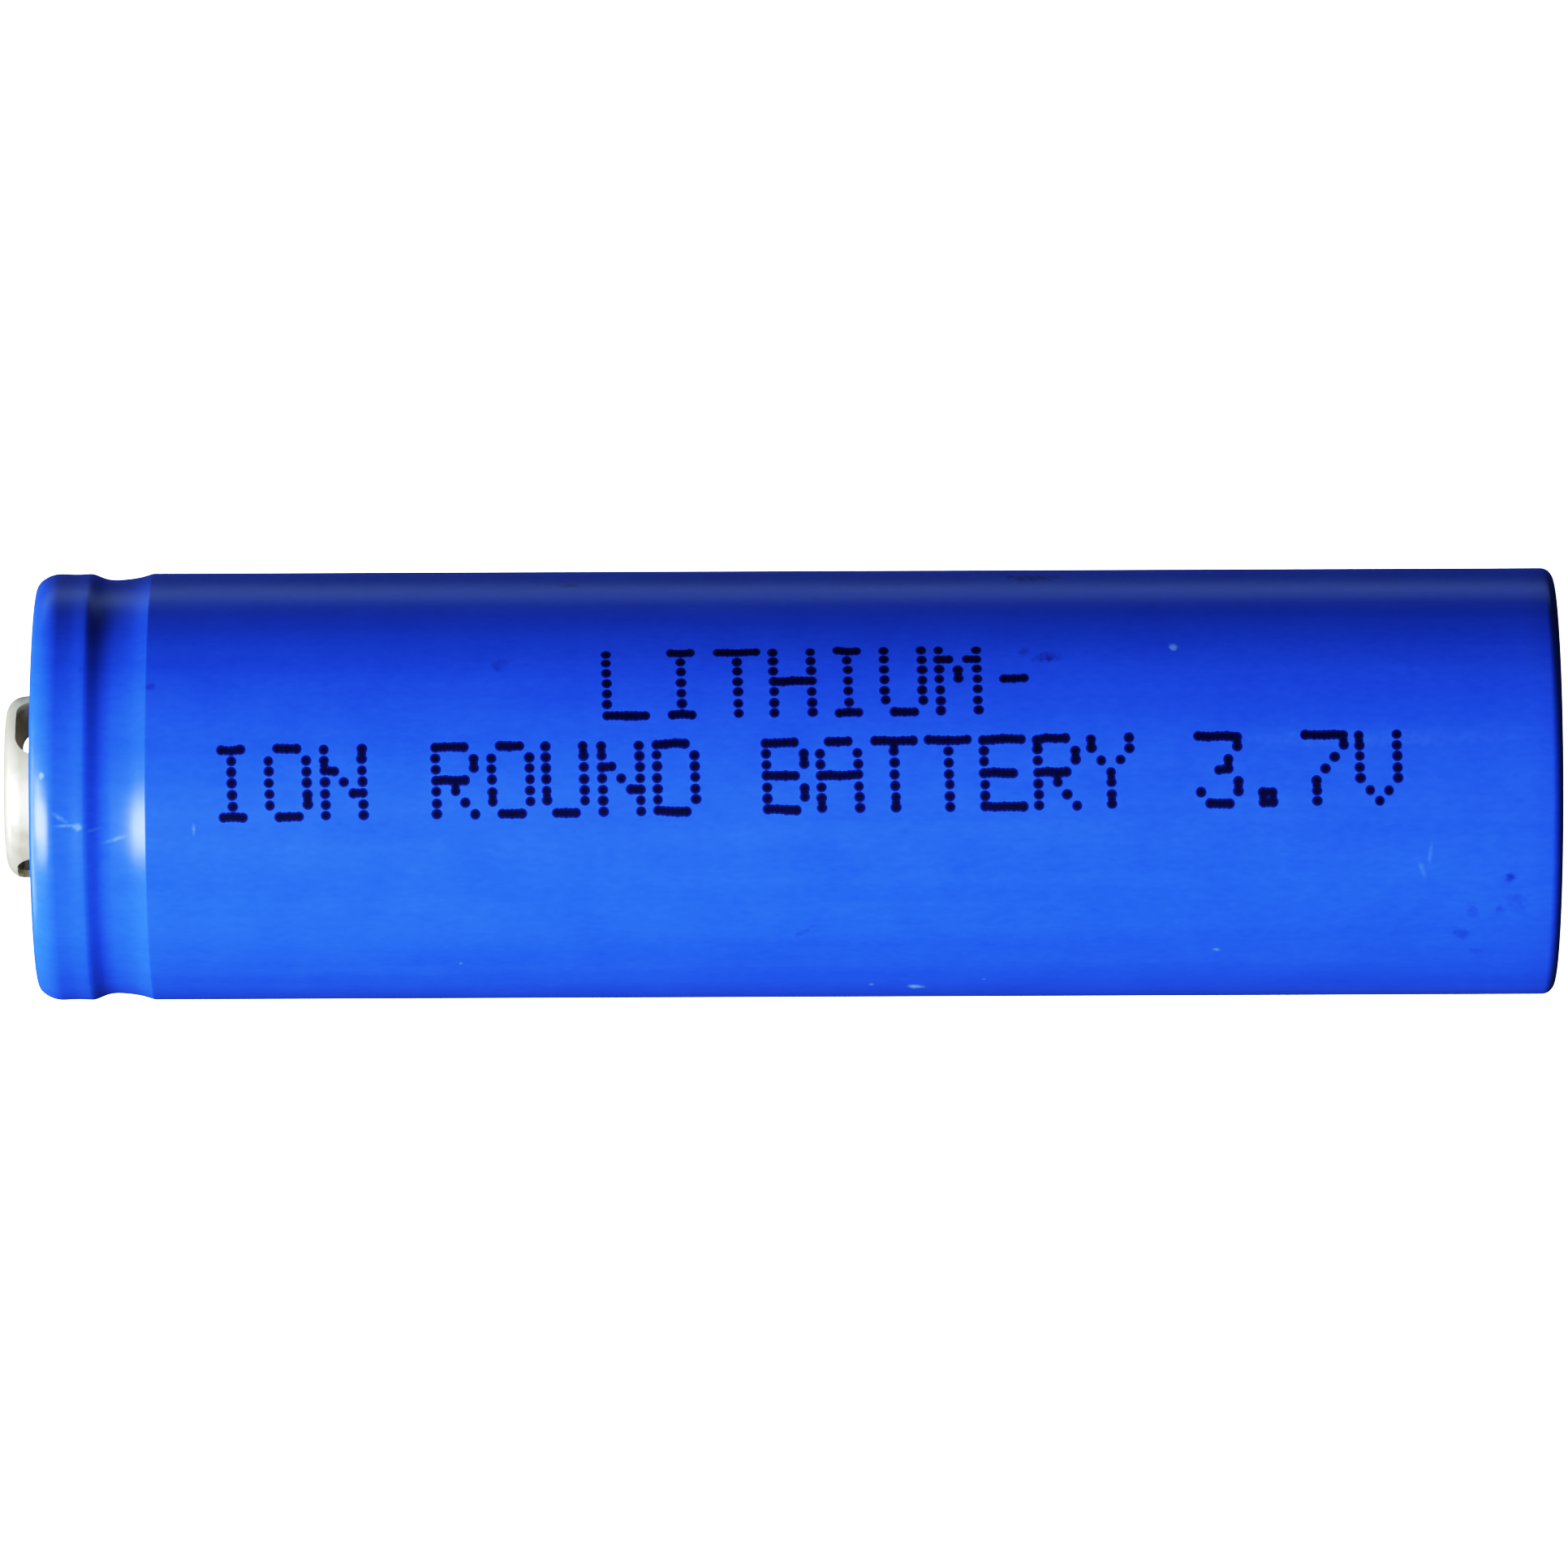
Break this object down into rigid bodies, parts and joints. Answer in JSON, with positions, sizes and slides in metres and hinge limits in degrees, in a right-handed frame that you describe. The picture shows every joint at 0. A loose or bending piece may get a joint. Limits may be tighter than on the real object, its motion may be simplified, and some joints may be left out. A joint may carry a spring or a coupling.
{
  "type": "cylindrical battery cell",
  "caption": "Rechargeable cylindrical lithium-ion cell: blue shrink sleeve, grooved and crimped steel can, raised vented positive button, and wound electrodes inside.",
  "frame": {"origin": "centre of the negative end, where the cell stands", "axes": "+Z along the cell's axis, towards the positive button; the printed side of the sleeve faces -Y"},
  "size_m": [0.0184, 0.0184, 0.0663],
  "materials": {
    "blue_sleeve": "blue heat-shrink PVC, smooth and glossy",
    "fish_paper": "pressed fish paper, matt off-white",
    "nickel_plate": "nickel-plated steel, bright with fine wear",
    "soft_aluminium": "soft rolled aluminium, satin",
    "seal_plastic": "natural polypropylene, slightly milky",
    "ptc_composite": "carbon-filled polymer, matt black",
    "separator_film": "microporous film, white, silky",
    "cathode_coat": "pressed oxide coating on aluminium foil, dark grey",
    "anode_coat": "pressed graphite coating on copper foil, near black",
    "green_tape": "green polyester tape",
    "amber_tape": "amber polyimide tape",
    "insulator_board": "glass-filled laminate, pale green-white",
    "print_ink": "dark navy ink-jet dots on the sleeve, in the visual model only"
  },
  "bodies": {
    "root": {"sleeve": "blue_sleeve", "top_washer": "fish_paper", "can": "nickel_plate", "top_cap": "nickel_plate", "ptc_ring": "ptc_composite", "vent_disc": "soft_aluminium", "contact_plate": "soft_aluminium", "plate_retainer": "seal_plastic", "crimp_gasket": "seal_plastic", "separator_inner": "separator_film", "cathode_sheet": "cathode_coat", "separator_outer": "separator_film", "anode_sheet": "anode_coat", "centre_pin": "nickel_plate", "closing_tape": "green_tape", "cathode_tab": "soft_aluminium", "cathode_tab_tape": "amber_tape", "top_insulator": "insulator_board", "anode_tab": "nickel_plate", "anode_tab_tape": "amber_tape", "bottom_insulator": "insulator_board"}
  },
  "joints": []
}
